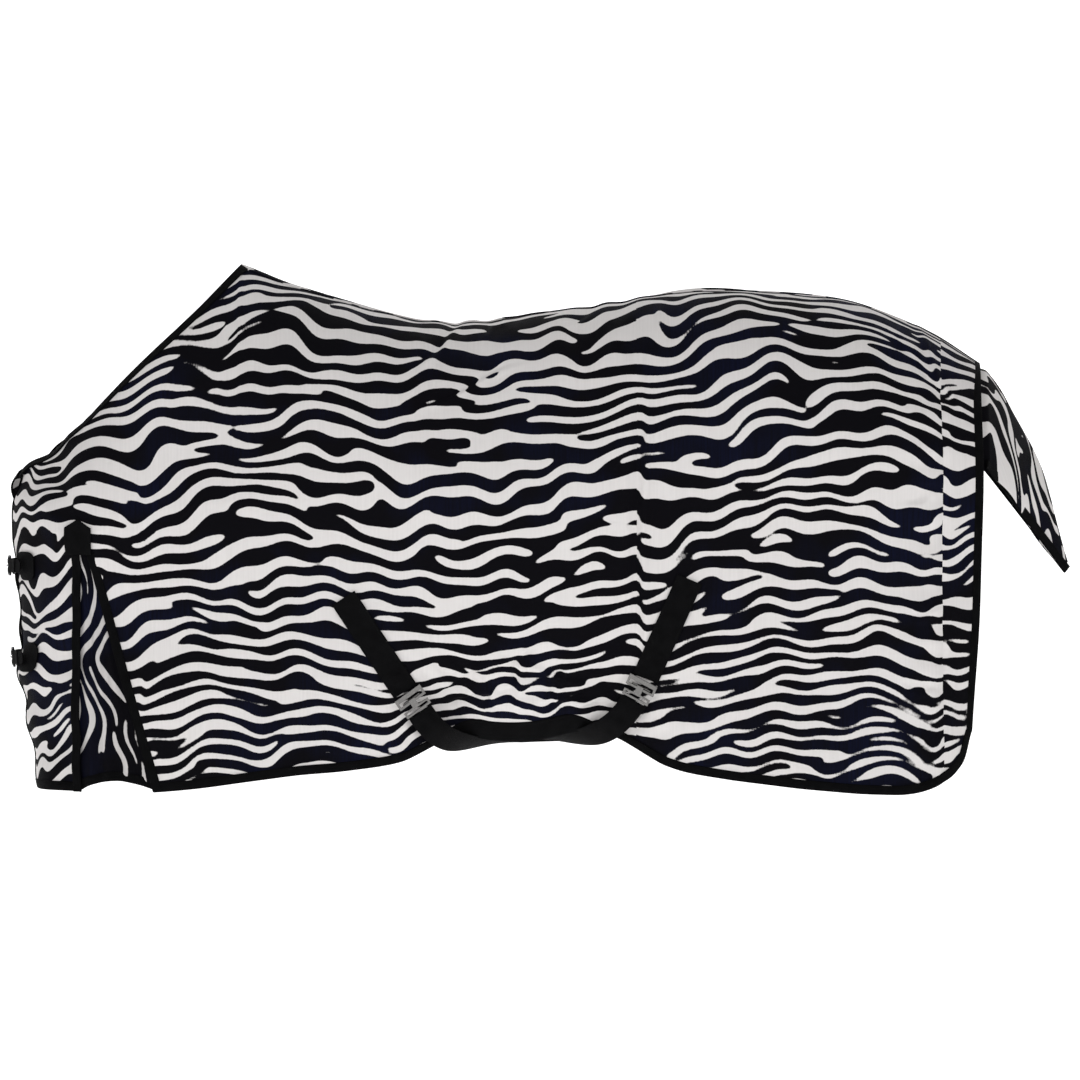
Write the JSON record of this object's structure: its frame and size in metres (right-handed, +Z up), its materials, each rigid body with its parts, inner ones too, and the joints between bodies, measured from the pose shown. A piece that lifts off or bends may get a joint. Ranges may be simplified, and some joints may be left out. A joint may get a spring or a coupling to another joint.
{
  "type": "fly sheet",
  "caption": "Horse fly sheet in worn shape: zebra-print mesh body with black bindings, shoulder gussets, buckled chest, tail flap and girth straps crossed under the belly.",
  "frame": {"origin": "the top of the neck edge over the withers, on the spine seam", "axes": "-X towards the head and +X towards the tail, the near (left) side faces -Y, +Z up"},
  "size_m": [2.0011, 0.6252, 0.9912],
  "materials": {
    "zebra_mesh_cloth": "fine polyester mesh, off-white with a black zebra print, slight sheen",
    "black_binding": "folded polypropylene tape, matt black",
    "black_webbing": "flat woven polypropylene webbing, matt black",
    "silver_metal": "nickel-plated steel",
    "black_metal": "black-coated steel"
  },
  "bodies": {
    "sheet": {"spine_seam": "zebra_mesh_cloth", "near_shoulder_panel": "zebra_mesh_cloth", "near_barrel_panel": "zebra_mesh_cloth", "near_croup_panel": "zebra_mesh_cloth", "near_hind_panel": "zebra_mesh_cloth", "near_neck_binding": "black_binding", "near_hem_binding": "black_binding", "near_rear_binding": "black_binding", "near_gusset": "zebra_mesh_cloth", "near_gusset_binding": "black_binding", "near_gusset_hem_binding": "black_binding", "near_gusset_patch": "black_webbing", "near_front_girth_tab": "black_webbing", "near_rear_girth_tab": "black_webbing", "off_shoulder_panel": "zebra_mesh_cloth", "off_barrel_panel": "zebra_mesh_cloth", "off_croup_panel": "zebra_mesh_cloth", "off_hind_panel": "zebra_mesh_cloth", "off_neck_binding": "black_binding", "off_hem_binding": "black_binding", "off_rear_binding": "black_binding", "off_gusset": "zebra_mesh_cloth", "off_gusset_binding": "black_binding", "off_gusset_hem_binding": "black_binding", "off_gusset_patch": "black_webbing", "off_front_girth_tab": "black_webbing", "off_rear_girth_tab": "black_webbing", "near_front_slot_plate": "silver_metal", "near_front_t_hook": "silver_metal", "front_girth_strap": "black_webbing", "near_rear_slot_plate": "silver_metal", "near_rear_t_hook": "silver_metal", "rear_girth_strap": "black_webbing"},
    "chest_apron": {"near_chest_flap": "zebra_mesh_cloth", "near_flap_hem_binding": "black_binding", "near_flap_front_binding": "black_binding", "near_flap_slit_binding": "black_binding", "upper_near_chest_patch": "black_webbing", "lower_near_chest_patch": "black_webbing", "off_chest_flap": "zebra_mesh_cloth", "off_flap_hem_binding": "black_binding", "off_flap_front_binding": "black_binding", "off_flap_slit_binding": "black_binding", "upper_off_chest_patch": "black_webbing", "lower_off_chest_patch": "black_webbing", "upper_billet": "black_webbing", "lower_billet": "black_webbing", "upper_buckle_frame": "black_metal", "lower_buckle_frame": "black_metal"},
    "tail_flap": {"tail_flap": "zebra_mesh_cloth", "near_tail_flap_binding": "black_binding", "off_tail_flap_binding": "black_binding"},
    "upper_tongue": {"upper_buckle_tongue": "black_metal"},
    "lower_tongue": {"lower_buckle_tongue": "black_metal"},
    "upper_keeper": {"upper_keeper": "black_webbing"},
    "lower_keeper": {"lower_keeper": "black_webbing"}
  },
  "joints": [
    {"name": "chest_apron_swing", "type": "hinge", "parent": "sheet", "child": "chest_apron", "pos_m": [-0.296, 0, -0.498], "axis": [0, 1, 0], "range_deg": [0, 12], "deforming": ["near_gusset", "off_gusset", "near_gusset_hem_binding", "off_gusset_hem_binding", "near_gusset_patch", "off_gusset_patch"]},
    {"name": "tail_flap_lift", "type": "hinge", "parent": "sheet", "child": "tail_flap", "pos_m": [1.393, 0, -0.184], "axis": [0, -1, 0], "range_deg": [0, 55]},
    {"name": "upper_tongue_lift", "type": "hinge", "parent": "chest_apron", "child": "upper_tongue", "pos_m": [-0.43385, -0.03703, -0.56607], "axis": [-0.0087, -0.0013, 1], "range_deg": [0, 95]},
    {"name": "lower_tongue_lift", "type": "hinge", "parent": "chest_apron", "child": "lower_tongue", "pos_m": [-0.42699, -0.03678, -0.73859], "axis": [-0.0753, -0.0101, 0.9971], "range_deg": [0, 95]},
    {"name": "upper_keeper_slide", "type": "slide", "parent": "chest_apron", "child": "upper_keeper", "axis": [0.3181, -0.948, 0.0003], "range_m": [-0.006, 0.008]},
    {"name": "lower_keeper_slide", "type": "slide", "parent": "chest_apron", "child": "lower_keeper", "axis": [0.2893, -0.9572, 0.0033], "range_m": [-0.006, 0.008]}
  ]
}
